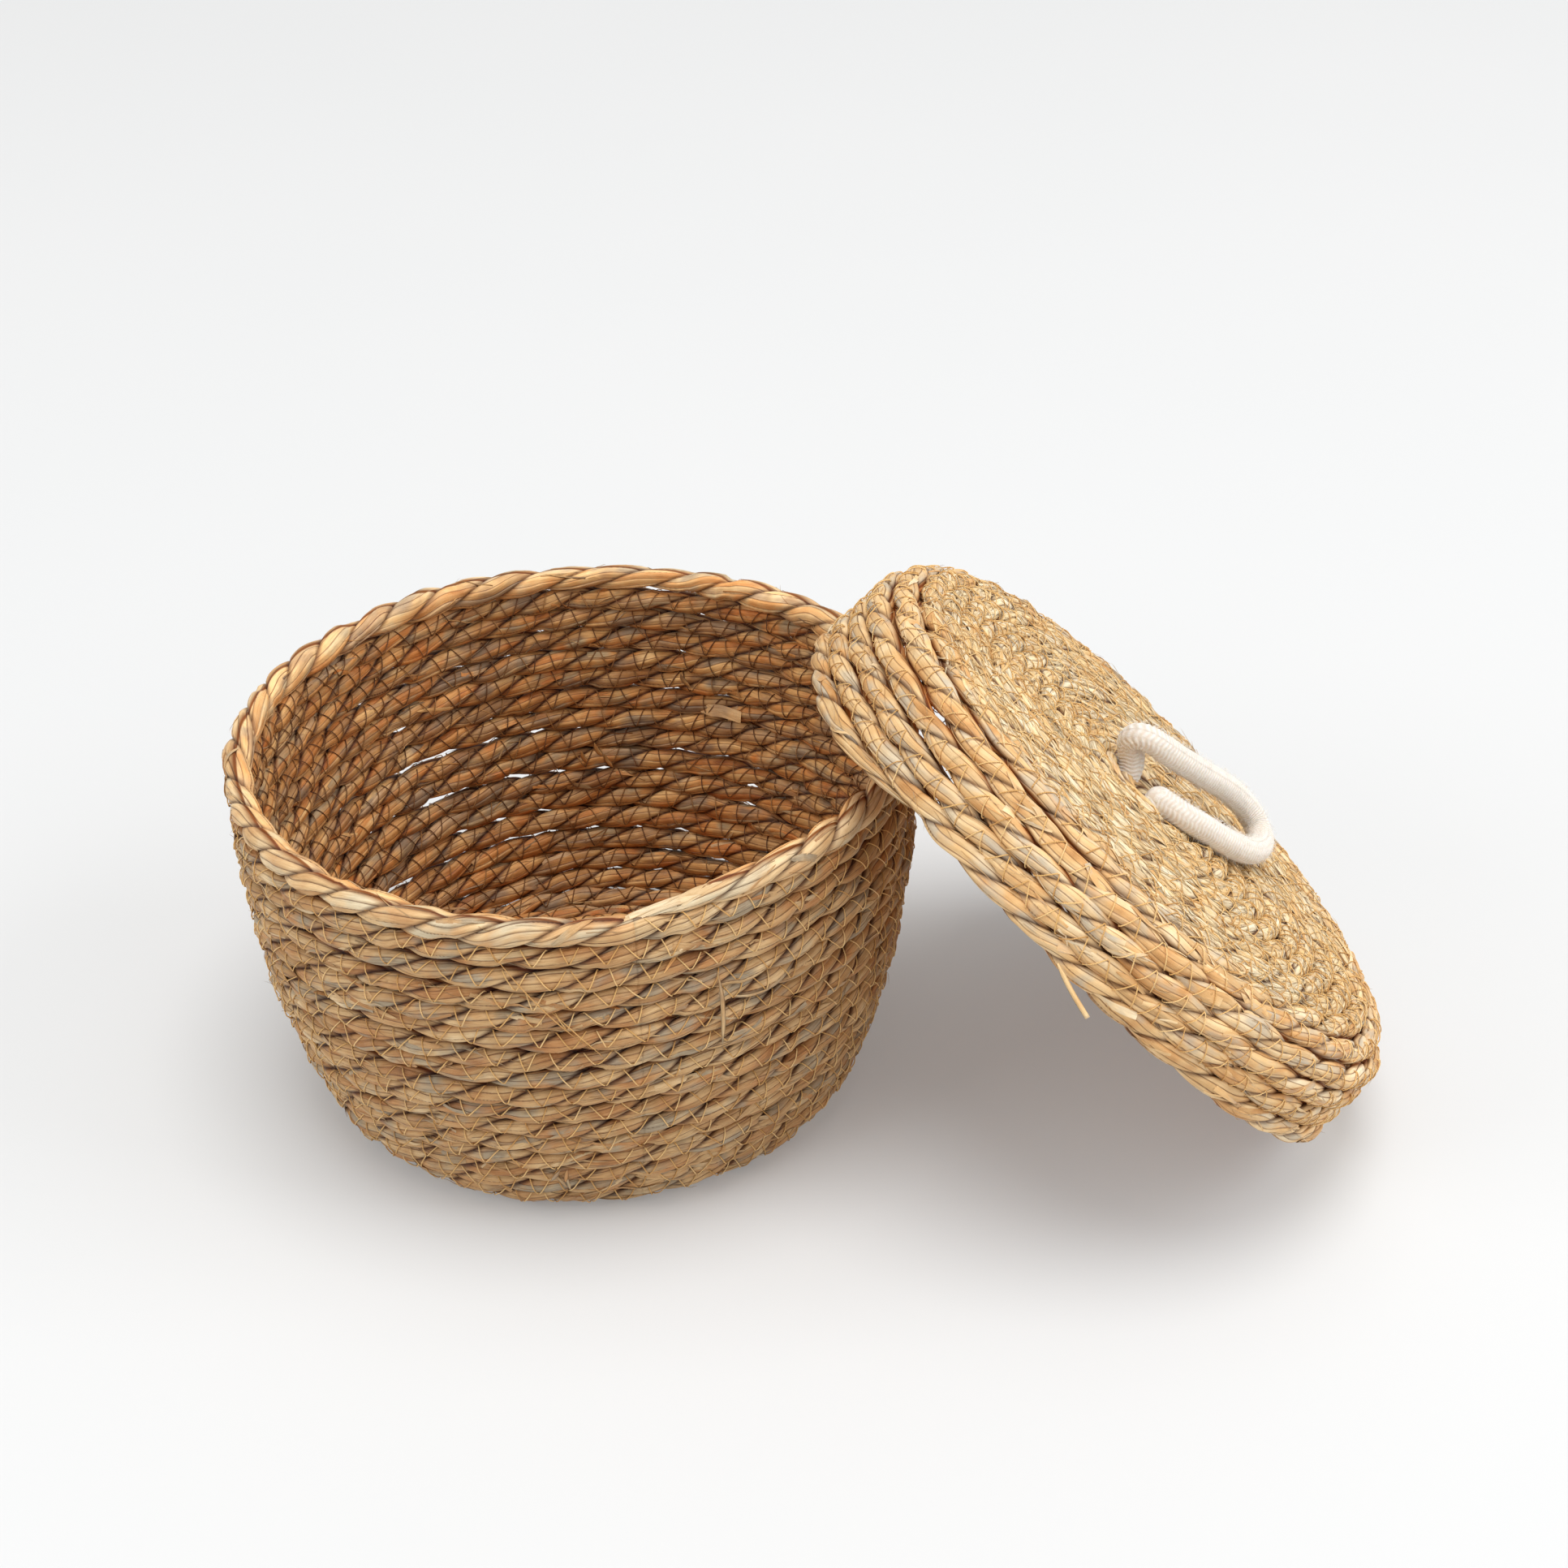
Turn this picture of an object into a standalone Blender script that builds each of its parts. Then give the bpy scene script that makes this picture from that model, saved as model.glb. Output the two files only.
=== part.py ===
"""A coiled wicker basket with its lid leaning on the rim.

The basket and the lid are each one long twisted rope of dried leaf, wound into a spiral: out along a
flat bottom (or top), round a corner and down the side, each turn sewn to the one before. Every turn is
its own object. A cotton cord loop is knotted through the middle of the lid as its handle.
Metres, +Z up, origin on the floor under the middle of the basket.
"""

import math

import bpy
import numpy as np
from mathutils import Matrix, Vector

MM = 0.001
GAP = 0.3 * MM  # left between pieces that touch on the real object

# Basket
BASKET_ROPE_R = 4.05 * MM  # radius of the rope
BASKET_PITCH = 8.47 * MM  # from one turn to the next, along the profile
BASKET_TURNS = 26
BASE_TURNS = 10  # how many of them lie in the flat base
BASE_FLAT_R = 84.6 * MM
HEEL_R = 9 * MM  # the corner between the base and the wall
HEEL_ANGLE = math.radians(65)
RIM_R = 115.7 * MM  # rim coil, at its centreline
BASE_R = 90.4 * MM  # the wall's line carried down to the floor
WALL_POWER = 2.45  # how fast the wall straightens up
RIM_Z = 134.5 * MM  # mean height of the rim coil's centreline
BASE_Z = BASKET_ROPE_R * math.cos(math.pi / 6) + 0.01 * MM
RIM_END_ANGLE = math.radians(-78)  # where the rope ends on the rim

# Lid, in its own frame: +Z out of its top, +X down the slope that it leans at
LID_ROPE_R = 3.65 * MM
LID_TURNS = 16
LID_TOP_TURNS = 11
LID_FIRST_R = 17.3 * MM  # where the spiral starts, outside the curl in the middle
LID_FLAT_R = 103 * MM
LID_SHOULDER = (13.5 * MM, 14 * MM)  # the rounded edge, across and down
LID_SKIRT_R = 117.6 * MM
LID_DEPTH = 32.9 * MM  # from the top's centreline to the rim coil's, on average
LID_WARP = 4.2 * MM  # the soft skirt is bent into a slight saddle
LID_WARP_ANGLE = math.radians(11)
LID_MIDDLE = Vector((-6.5, -0.9)) * MM  # the spiral starts this far off the lid's middle
LID_END_ANGLE = math.radians(211)
LID_PLACE = Vector((200.2, -24.6, 112.7)) * MM
LID_TILT, LID_BEARING = math.radians(45.4), math.radians(7.0)

# Where the lid swings to: level and centred, resting on the basket's rim
LID_CLOSED = Vector((0, 0, 184.4)) * MM

# Handle, a braided cotton cord, in the lid's frame
CORD_R = 4.75 * MM
FOOT_A, FOOT_B = Vector((-8.4, 5.9, 0)) * MM, Vector((-4.5, -7.7, 0)) * MM
BEND_A = Vector((-19, 8.5, 10.9)) * MM  # where the loop turns over foot A
BEND_B = Vector((-4.5, -7.7, 8.65)) * MM  # where it leaves foot B
CURL_R, CURL_H = 13.2 * MM, 6.4 * MM
KNOT_R = 6.8 * MM

STEPS = 24  # points along each turn, at the same angles on all of them
TAPER_LENGTH = 45 * MM  # the end of each rope thins out over this length
TAPER_TO = 0.4


def material(name, colour, roughness):
    m = bpy.data.materials.new(name)
    m.use_nodes = True
    shader = m.node_tree.nodes["Principled BSDF"]
    shader.inputs["Base Color"].default_value = (*colour, 1)
    shader.inputs["Roughness"].default_value = roughness
    shader.inputs["Metallic"].default_value = 0
    return m


def along(profile, s):
    """The point at length s along a profile, a list of (radius, height), and its slope there."""
    p = np.array(profile)
    step = np.linalg.norm(np.diff(p, axis=0), axis=1)
    at = np.concatenate([[0], np.cumsum(step)])
    r, z = np.interp(s, at, p[:, 0]), np.interp(s, at, p[:, 1])
    r2, z2 = np.interp(s + 2 * MM, at, p[:, 0]), np.interp(s + 2 * MM, at, p[:, 1])
    r1, z1 = np.interp(s - 2 * MM, at, p[:, 0]), np.interp(s - 2 * MM, at, p[:, 1])
    return r, z, math.atan2(z2 - z1, r2 - r1)


def basket_profile():
    """From the middle of the base out to the heel and up the wall."""
    points = [(0, BASE_Z), (BASE_FLAT_R, BASE_Z)]
    for a in np.linspace(0, HEEL_ANGLE, 9)[1:]:
        points.append((BASE_FLAT_R + HEEL_R * math.sin(a), BASE_Z + HEEL_R * (1 - math.cos(a))))
    for z in np.linspace(points[-1][1], RIM_Z + 12 * MM, 60)[1:]:
        left = max(0, 1 - z / RIM_Z)
        points.append((RIM_R - (RIM_R - BASE_R) * left**WALL_POWER, z))
    return points


def lid_profile():
    """From the middle of the top out to the rounded edge and down the skirt."""
    across, down = LID_SHOULDER
    points = [(0, 0), (LID_FLAT_R, 0)]
    for a in np.linspace(0, math.pi / 2, 13)[1:]:
        points.append((LID_FLAT_R + across * math.sin(a), -down * (1 - math.cos(a))))
    points.append((LID_SKIRT_R, -LID_DEPTH - 12 * MM))
    return points


def length_to(profile, height):
    """The length along a profile to where it reaches a height."""
    p = np.array(profile)
    at = np.concatenate([[0], np.cumsum(np.linalg.norm(np.diff(p, axis=0), axis=1))])
    z = p[:, 1] if p[-1, 1] > p[0, 1] else -p[:, 1]
    return float(np.interp(abs(height), z, at))


def basket_point(s, end, tuck=0):
    """A point on the basket rope's centreline, and how far its section is turned. tuck moves it
    towards the turn before."""
    r, z, slope = along(BASKET_PROFILE, s - tuck)
    angle = RIM_END_ANGLE + 2 * math.pi * (end - s) / BASKET_PITCH
    return Vector((r * math.cos(angle), r * math.sin(angle), z)), slope


def lid_point(s, end, tuck=0):
    """The same for the lid, with its saddle and its spiral starting off the middle."""
    r, z, slope = along(LID_PROFILE, s - tuck)
    angle = LID_END_ANGLE - 2 * math.pi * (end - s) / LID_PITCH
    saddle = LID_WARP * math.cos(2 * (angle + LID_WARP_ANGLE)) * z / LID_DEPTH
    off = LID_MIDDLE * min(1, max(0, (LID_FLAT_R + 8 * MM - s) / (LID_FLAT_R + 8 * MM - LID_FIRST_R)))
    return Vector((off.x + r * math.cos(angle), off.y + r * math.sin(angle), z + saddle)), slope


def tube(name, points, radius, look, sizes=None, tilts=None, sides=1):
    """A round piece along a line of points; its thickness can change along it."""
    data = bpy.data.curves.new(name, "CURVE")
    data.dimensions = "3D"
    data.twist_mode = "Z_UP"
    data.bevel_depth = radius
    data.bevel_resolution = sides
    data.use_fill_caps = True
    spline = data.splines.new("POLY")
    spline.points.add(len(points) - 1)
    for i, p in enumerate(points):
        spline.points[i].co = (*p, 1)
        spline.points[i].radius = sizes[i] if sizes else 1
        spline.points[i].tilt = tilts[i] if tilts else 0
    data.materials.append(look)
    piece = bpy.data.objects.new(name, data)
    PARTS.objects.link(piece)
    return piece


def coil(names, point, start, pitch, radius, look):
    """One object for each turn of a spiral; the last one tapers off at its end."""
    end = start + pitch * len(names)
    made = []
    for k, name in enumerate(names):
        first, last = start + pitch * k, start + pitch * (k + 1)
        mid = point((first + last) / 2, end)[0]
        around = 2 * math.pi * math.hypot(mid.x, mid.y)
        spare = pitch * GAP / around  # left off each end of the turn, so that the ends don't touch
        square = 3.7 * spare  # a short first and last step, so that the ends face each other squarely
        points, sizes, tilts = [], [], []
        inner = np.linspace(first, last, STEPS + 1)[1:-1]
        for s in [first + spare, first + square, *inner, last - square, last - spare]:
            thin = 1.0
            if k == len(names) - 1:
                left = (last - s) / pitch * around
                thin = 1 - (1 - TAPER_TO) * max(0, 1 - left / TAPER_LENGTH)
            p, slope = point(s, end, (1 - thin) * radius)
            points.append(p)
            sizes.append(thin)
            tilts.append(slope)
        made.append(tube(name, points, radius, look, sizes, tilts))
    return made


def smooth(points, count):
    """A smooth line through hand-placed points (Catmull-Rom), with evenly spaced points on it."""
    p = [np.array(v) for v in points]
    p = [2 * p[0] - p[1], *p, 2 * p[-1] - p[-2]]
    fine = []
    for a, b, c, d in zip(p, p[1:], p[2:], p[3:]):
        for t in np.linspace(0, 1, 12, endpoint=False):
            fine.append(0.5 * (2 * b + (c - a) * t + (2 * a - 5 * b + 4 * c - d) * t * t
                               + (3 * b - a - 3 * c + d) * t**3))
    fine = np.array([*fine, p[-2]])
    at = np.concatenate([[0], np.cumsum(np.linalg.norm(np.diff(fine, axis=0), axis=1))])
    even = np.linspace(0, at[-1], count)
    return [Vector([np.interp(e, at, fine[:, i]) for i in range(3)]) for e in even]


def place(pieces, parent):
    for piece in pieces:
        piece.parent = parent


def empty(name, matrix):
    e = bpy.data.objects.new(name, None)
    e.matrix_world = matrix
    GUIDES.objects.link(e)
    return e


def basket(look):
    end = length_to(BASKET_PROFILE, RIM_Z) + BASKET_PITCH / 2
    start = end - BASKET_TURNS * BASKET_PITCH
    names = [f"base_turn_{i:02d}" for i in range(1, BASE_TURNS + 1)]
    names += [f"wall_turn_{i:02d}" for i in range(1, BASKET_TURNS - BASE_TURNS)]
    names += ["rim_turn"]
    pieces = coil(names, basket_point, start, BASKET_PITCH, BASKET_ROPE_R, look)
    button_r = start - BASKET_ROPE_R - GAP
    button = button_disc("base_start_button", button_r, 2 * BASE_Z, look)
    button.location.z = BASE_Z
    return [*pieces, button]


def button_disc(name, radius, height, look):
    """A short round plug with a softened edge and a flat face on each side."""
    bpy.ops.mesh.primitive_cylinder_add(vertices=20, radius=radius, depth=height)
    piece = bpy.context.object
    piece.name = piece.data.name = name
    for c in piece.users_collection:
        c.objects.unlink(piece)
    PARTS.objects.link(piece)
    piece.data.materials.append(look)
    soften = piece.modifiers.new("edge", "BEVEL")
    soften.width, soften.segments, soften.limit_method = 0.8 * MM, 1, "ANGLE"
    soften.angle_limit = math.radians(40)
    return piece


def lid(look):
    names = [f"lid_top_turn_{i:02d}" for i in range(1, LID_TOP_TURNS + 1)]
    names += [f"lid_skirt_turn_{i:02d}" for i in range(1, LID_TURNS - LID_TOP_TURNS)]
    names += ["lid_rim_turn"]
    pieces = coil(names, lid_point, LID_FIRST_R, LID_PITCH, LID_ROPE_R, look)
    curl = button_disc("lid_start_curl", CURL_R, CURL_H, look)
    curl.location = (*LID_MIDDLE, 0)
    for foot in (FOOT_A, FOOT_B):
        bpy.ops.mesh.primitive_cylinder_add(vertices=20, radius=CORD_R + GAP, depth=40 * MM)
        drill = bpy.context.object
        drill.name = "cord_hole"
        drill.location = foot
        drill.hide_render, drill.display_type = True, "WIRE"
        for c in drill.users_collection:
            c.objects.unlink(drill)
        GUIDES.objects.link(drill)
        cut = curl.modifiers.new("hole", "BOOLEAN")
        cut.object, cut.operation, cut.solver = drill, "DIFFERENCE", "EXACT"
        pieces.append(drill)
    return [*pieces, curl]


def handle_route():
    """The loop's centreline: over foot A's bend, down the lid, round, and back to foot B."""
    stops = [(-22.4, 6.3, 14.2), (-19.2, 3.8, 17.6), (-12.0, 3.2, 18.0), (0.5, 6.5, 18.2), (14, 12, 18.0),
             (27.5, 18.5, 17.6), (40, 23.4, 16.2), (49.5, 23.5, 14.0), (52.6, 16.5, 12.2), (49.2, 7.5, 10.9),
             (41, -0.8, 9.6), (30.5, -5.6, 8.95), (14, -11.0, 8.8), (2.5, -12.0, 8.7)]
    return smooth([BEND_A, *(Vector(p) * MM for p in stops), BEND_B], 44)


def handle_loop(look):
    """The part of the cord above the lid, with a round end at each bend so that it can swing."""
    route = handle_route()
    first, last = route[0], route[-1]
    back = (first - route[1]).normalized() * CORD_R
    on = (last - route[-2]).normalized() * CORD_R
    rounding = [(share, math.sqrt(1 - share * share)) for share in (0.5, 0.82, 0.97)]
    points = [first + back * share for share, _ in reversed(rounding)] + route
    points += [last + on * share for share, _ in rounding]
    ends = [size for _, size in rounding]
    sizes = [*reversed(ends), *[1.0] * len(route), *ends]
    return tube("handle_loop", points, CORD_R, look, sizes, sides=2)


def handle_feet(look):
    """The cord's two feet through the lid, and the knots that hold them underneath."""
    under = Vector((0, 0, -LID_ROPE_R - 0.1 * MM))
    rise = smooth([FOOT_A + under, FOOT_A, FOOT_A + Vector((0, 0, 4)) * MM,
                   FOOT_A + Vector((-1.1, 0.3, 7.6)) * MM, FOOT_A + Vector((-4.6, 1.1, 9.9)) * MM,
                   BEND_A], 24)
    clear = CORD_R + GAP + 0.1 * MM
    rise = [p for p in rise if (p - BEND_A).length > clear]
    a = tube("handle_foot_a", rise, CORD_R, look, sides=2)
    top = Vector((0, 0, BEND_B.z - clear))
    b = tube("handle_foot_b", [FOOT_B + under, FOOT_B, FOOT_B + top], CORD_R, look, sides=2)
    knots = []
    for name, foot in (("handle_knot_a", FOOT_A), ("handle_knot_b", FOOT_B)):
        bpy.ops.mesh.primitive_uv_sphere_add(segments=16, ring_count=10, radius=KNOT_R)
        knot = bpy.context.object
        knot.name = knot.data.name = name
        for c in knot.users_collection:
            c.objects.unlink(knot)
        PARTS.objects.link(knot)
        knot.data.materials.append(look)
        knot.location = foot + under - Vector((0, 0, KNOT_R + GAP))
        knots.append(knot)
    return [a, b, *knots]


def swing():
    """The line that the lid turns about to get from where it leans to where it closes."""
    up = Vector((0, 0, 1))
    normal = LID_REST.to_3x3() @ up
    travel = LID_CLOSED - LID_PLACE
    axis = travel.cross(up - normal).normalized()
    a, b = normal - normal.dot(axis) * axis, up - up.dot(axis) * axis
    angle = math.atan2(a.cross(b).dot(axis), a.dot(b))
    across = travel - travel.dot(axis) * axis
    centre = (LID_PLACE + LID_CLOSED) / 2 + axis.cross(across) / (2 * math.tan(angle / 2))
    if angle < 0:
        axis, angle = -axis, -angle
    return centre, axis, angle


def frame_on(point, axis):
    return Matrix.Translation(point) @ axis.to_track_quat("Z", "Y").to_matrix().to_4x4()


for old in list(bpy.data.objects):
    bpy.data.objects.remove(old, do_unlink=True)
PARTS = bpy.data.collections.new("wicker_basket")
GUIDES = bpy.data.collections.new("cutters_and_guides")
for group in (PARTS, GUIDES):
    bpy.context.scene.collection.children.link(group)

BASKET_PROFILE, LID_PROFILE = basket_profile(), lid_profile()
LID_PITCH = (length_to(LID_PROFILE, LID_DEPTH) - LID_FIRST_R) / (LID_TURNS - 0.5)
LID_REST = (Matrix.Translation(LID_PLACE) @ Matrix.Rotation(LID_BEARING, 4, "Z")
            @ Matrix.Rotation(LID_TILT, 4, "Y"))

LEAF = material("dried_leaf_rope", (0.62, 0.43, 0.23), 0.72)
COTTON = material("cotton_cord", (0.86, 0.84, 0.80), 0.9)

basket(LEAF)

centre, axis, angle = swing()
lid_axis = empty("lid_swing_axis", frame_on(centre, axis))
lid_frame = empty("lid_frame", LID_REST)
handle_axis = empty("handle_swing_axis", LID_REST @ frame_on(BEND_A, (BEND_B - BEND_A).normalized()))
place([*lid(LEAF), *handle_feet(COTTON)], lid_frame)
loop = handle_loop(COTTON)
loop.parent = handle_axis
bpy.context.view_layer.update()
loop.matrix_parent_inverse = handle_axis.matrix_world.inverted() @ LID_REST
for child, parent in ((lid_frame, lid_axis), (handle_axis, lid_frame)):
    child.parent = parent
    child.matrix_parent_inverse = parent.matrix_world.inverted()
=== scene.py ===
"""How a coiled leaf-rope basket and its leaning lid look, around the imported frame.

The basket and the lid are each one long two-ply rope of dried leaf in a spiral, sewn with zigzag thread.
Each rope is laid along the same line as its CAD turns and split into the same pieces; its plies, leaf
folds, threads, loose fibres and the braided cotton cord of the handle are all real mesh.
"""

import math

import bpy
import numpy as np
from mathutils import Matrix, Vector


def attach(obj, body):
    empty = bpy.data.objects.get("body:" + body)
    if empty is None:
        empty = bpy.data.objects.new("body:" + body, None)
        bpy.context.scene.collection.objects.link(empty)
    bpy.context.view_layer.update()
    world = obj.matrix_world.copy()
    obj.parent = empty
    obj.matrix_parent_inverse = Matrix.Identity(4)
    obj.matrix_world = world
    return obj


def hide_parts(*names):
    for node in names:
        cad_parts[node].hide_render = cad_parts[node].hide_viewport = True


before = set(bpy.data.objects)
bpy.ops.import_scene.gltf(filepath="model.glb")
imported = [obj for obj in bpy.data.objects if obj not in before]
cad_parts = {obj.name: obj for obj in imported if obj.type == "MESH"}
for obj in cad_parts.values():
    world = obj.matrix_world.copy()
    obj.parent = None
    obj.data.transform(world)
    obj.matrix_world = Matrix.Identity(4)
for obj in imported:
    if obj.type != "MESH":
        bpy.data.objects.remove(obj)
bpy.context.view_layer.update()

MM = 0.001
TAU = 2 * math.pi

# The lines that the ropes follow: the same sizes as the CAD
BASKET_PITCH, BASKET_TURNS, BASE_TURNS = 8.47 * MM, 26, 10
BASE_FLAT_R, HEEL_R, HEEL_ANGLE = 84.6 * MM, 9 * MM, math.radians(65)
RIM_R, BASE_R, WALL_POWER, RIM_Z = 115.7 * MM, 90.4 * MM, 2.45, 134.5 * MM
BASE_Z = 4.05 * MM * math.cos(math.pi / 6) + 0.01 * MM
RIM_END_ANGLE = math.radians(-78)
LID_TURNS, LID_TOP_TURNS = 16, 11
LID_FIRST_R, LID_FLAT_R, LID_SHOULDER = 17.3 * MM, 103 * MM, (13.5 * MM, 14 * MM)
LID_SKIRT_R, LID_DEPTH = 117.6 * MM, 32.9 * MM
LID_WARP, LID_WARP_ANGLE = 4.2 * MM, math.radians(11)
LID_MIDDLE, LID_END_ANGLE = np.array([-6.5, -0.9]) * MM, math.radians(211)
LID_REST = (Matrix.Translation(Vector((200.2, -24.6, 112.7)) * MM)
            @ Matrix.Rotation(math.radians(7.0), 4, "Z") @ Matrix.Rotation(math.radians(45.4), 4, "Y"))
LID_TURN, LID_PLACE = np.array(LID_REST.to_3x3()), np.array(LID_REST.translation)
TAPER_LENGTH, TAPER_TO = 45 * MM, 0.4

# The handle's cord, in the lid's frame
CORD_R = 4.75 * MM
FOOT_A, FOOT_B = Vector((-8.4, 5.9, 0)) * MM, Vector((-4.5, -7.7, 0)) * MM
BEND_A, BEND_B = Vector((-19, 8.5, 10.9)) * MM, Vector((-4.5, -7.7, 8.65)) * MM

# The ropes' own look
BASKET_ROPE_R, LID_ROPE_R = 4.32 * MM, 4.2 * MM
SIDES = 60  # faces around a rope
STEP = 1.15 * MM  # length of a face along a rope
FLATNESS = 2.28  # 2 is a round section; more fills its corners, as the stitches press the rows flat
CREASE = 0.37  # how deep the groove between the plies is, in rope radii
FOLD = math.radians(36)  # width of one leaf fold on a ply
FOLD_SLANT = 0.76  # how much less than the ply the folds slant
FOLD_WOBBLE = 0.55  # how far the folds wander over a ply, in folds
RIDGE_LOW, RIDGE_MORE = 0.10 * MM, 0.75 * MM  # height of a fold's edge: the least, and how much more
TORN = 0.30 * MM  # relief of the torn leaf on a ragged stretch
RAGGED_FADE = 40 * MM  # length over which a ragged stretch ends
PLY_SWELL = 0.10  # how much a ply's thickness varies
BOLD, BOLD_LENGTH = 0.13, 60 * MM  # how much thicker a bold last turn is, and over what length it grows
POINT_LENGTH = 24 * MM  # the rope's very end, where it comes to a point
START_THIN, START_LENGTH = 0.12, 25 * MM  # the same at its start, where it is only a little thinner
FLOOR_GAP = 0.05 * MM  # how near the floor anything may come
# How the rope wanders: (how far, shift of the seed, over what length)
TWIST_WANDER = ((0.8, 0, 48 * MM), (0.25, 40, 17 * MM))
OVER_WANDER = ((0.55 * MM, 1, 90 * MM), (0.35 * MM, 2, 31 * MM))
ASIDE_WANDER = ((1, 3, 120 * MM), (0.5, 4, 47 * MM))


# ---------- camera

CAMERA_PITCH, CAMERA_ROLL = math.radians(32.10), math.radians(-1.99)
CAMERA_PLACE, CAMERA_LENS, CAMERA_SENSOR = (0.07387, -0.92458, 0.69149), 70.94, 36


def camera():
    """The view from the front and above, with a slight roll."""
    ahead = Vector((0, math.cos(CAMERA_PITCH), -math.sin(CAMERA_PITCH)))
    right = Vector((1, 0, 0))
    up = right.cross(ahead)
    x = math.cos(CAMERA_ROLL) * right + math.sin(CAMERA_ROLL) * up
    y = -math.sin(CAMERA_ROLL) * right + math.cos(CAMERA_ROLL) * up
    data = bpy.data.cameras.new("camera")
    data.sensor_width, data.lens = CAMERA_SENSOR, CAMERA_LENS
    view = bpy.data.objects.new("camera", data)
    view.matrix_world = Matrix.Translation(CAMERA_PLACE) @ Matrix((x, y, -ahead)).transposed().to_4x4()
    bpy.context.scene.collection.objects.link(view)
    bpy.context.scene.camera = view


# ---------- lines

def lengths(points):
    """How far along a line each of its points lies."""
    return np.concatenate([[0], np.cumsum(np.linalg.norm(np.diff(points, axis=0), axis=1))])


def along(profile, s):
    """Radius, height and slope at the lengths s along a profile, a list of (radius, height)."""
    p = np.array(profile)
    at = lengths(p)
    (r, z), (r1, z1), (r2, z2) = (
        (np.interp(x, at, p[:, 0]), np.interp(x, at, p[:, 1])) for x in (s, s - 2 * MM, s + 2 * MM))
    return r, z, np.arctan2(z2 - z1, r2 - r1)


def length_to(profile, height):
    """Length along a profile at which it reaches a height."""
    p = np.array(profile)
    at = lengths(p)
    z = p[:, 1] if p[-1, 1] > p[0, 1] else -p[:, 1]
    return float(np.interp(abs(height), z, at))


def basket_profile():
    """The basket's side: flat base, rounded heel, wall that opens towards the rim and goes on past it."""
    points = [(0, BASE_Z), (BASE_FLAT_R, BASE_Z)]
    for a in np.linspace(0, HEEL_ANGLE, 9)[1:]:
        points.append((BASE_FLAT_R + HEEL_R * math.sin(a), BASE_Z + HEEL_R * (1 - math.cos(a))))
    for z in np.linspace(points[-1][1], RIM_Z + 12 * MM, 60)[1:]:
        points.append((RIM_R - (RIM_R - BASE_R) * max(0, 1 - z / RIM_Z) ** WALL_POWER, z))
    return points


def lid_profile():
    """The lid's side: flat top, rounded shoulder, skirt that widens a little and goes on past its rim."""
    across, down = LID_SHOULDER
    points = [(0, 0), (LID_FLAT_R, 0)]
    for a in np.linspace(0, math.pi / 2, 13)[1:]:
        points.append((LID_FLAT_R + across * math.sin(a), -down * (1 - math.cos(a))))
    return [*points, (LID_SKIRT_R, -LID_DEPTH - 12 * MM)]


BASKET_PROFILE, LID_PROFILE = basket_profile(), lid_profile()
BASKET_END = length_to(BASKET_PROFILE, RIM_Z) + BASKET_PITCH / 2
BASKET_START = BASKET_END - BASKET_TURNS * BASKET_PITCH
LID_PITCH = (length_to(LID_PROFILE, LID_DEPTH) - LID_FIRST_R) / (LID_TURNS - 0.5)
LID_END = LID_FIRST_R + LID_TURNS * LID_PITCH


def spread(a, b, c):
    """Three coordinates as points."""
    return np.stack(np.broadcast_arrays(a, b, c), -1)


def basket_line(s, tuck=0):
    """Centreline points of the basket's rope, and the ways out of the basket and to the next turn there."""
    r, z, slope = along(BASKET_PROFILE, s - tuck)
    a = RIM_END_ANGLE + TAU * (BASKET_END - s) / BASKET_PITCH
    c, k = np.cos(slope), np.sin(slope)
    return (spread(r * np.cos(a), r * np.sin(a), z), spread(k * np.cos(a), k * np.sin(a), -c),
            spread(c * np.cos(a), c * np.sin(a), k))


def lid_line(s, tuck=0):
    """The same for the lid, where it leans."""
    r, z, slope = along(LID_PROFILE, s - tuck)
    a = LID_END_ANGLE - TAU * (LID_END - s) / LID_PITCH
    fade = np.clip((LID_FLAT_R + 8 * MM - s) / (LID_FLAT_R + 8 * MM - LID_FIRST_R), 0, 1)
    height = z + LID_WARP * np.cos(2 * (a + LID_WARP_ANGLE)) * z / LID_DEPTH
    c, k = np.cos(slope), np.sin(slope)
    middle = spread(LID_MIDDLE[0] * fade + r * np.cos(a), LID_MIDDLE[1] * fade + r * np.sin(a), height)
    out = spread(-k * np.cos(a), -k * np.sin(a), c)
    across = spread(c * np.cos(a), c * np.sin(a), k)
    return middle @ LID_TURN.T + LID_PLACE, out @ LID_TURN.T, across @ LID_TURN.T


def drift(x, seed, size):
    """Smooth random values from -1 to 1 along x, a new one every size."""
    values = np.random.default_rng(seed).uniform(-1, 1, 4096)
    x = np.asarray(x) / size + 2000
    i = np.floor(x).astype(int)
    f = x - i
    f = f * f * (3 - 2 * f)
    return values[i % 4096] * (1 - f) + values[(i + 1) % 4096] * f


def wander(x, seed, parts):
    """Several drifts of different sizes added up."""
    return sum(far * drift(x, seed + shift, size) for far, shift, size in parts)


def pick(i, seed):
    """A random value from 0 to 1 for each whole number."""
    return np.random.default_rng(seed).uniform(0, 1, 8192)[np.asarray(i).astype(int) % 8192]


# ---------- meshes

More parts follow.
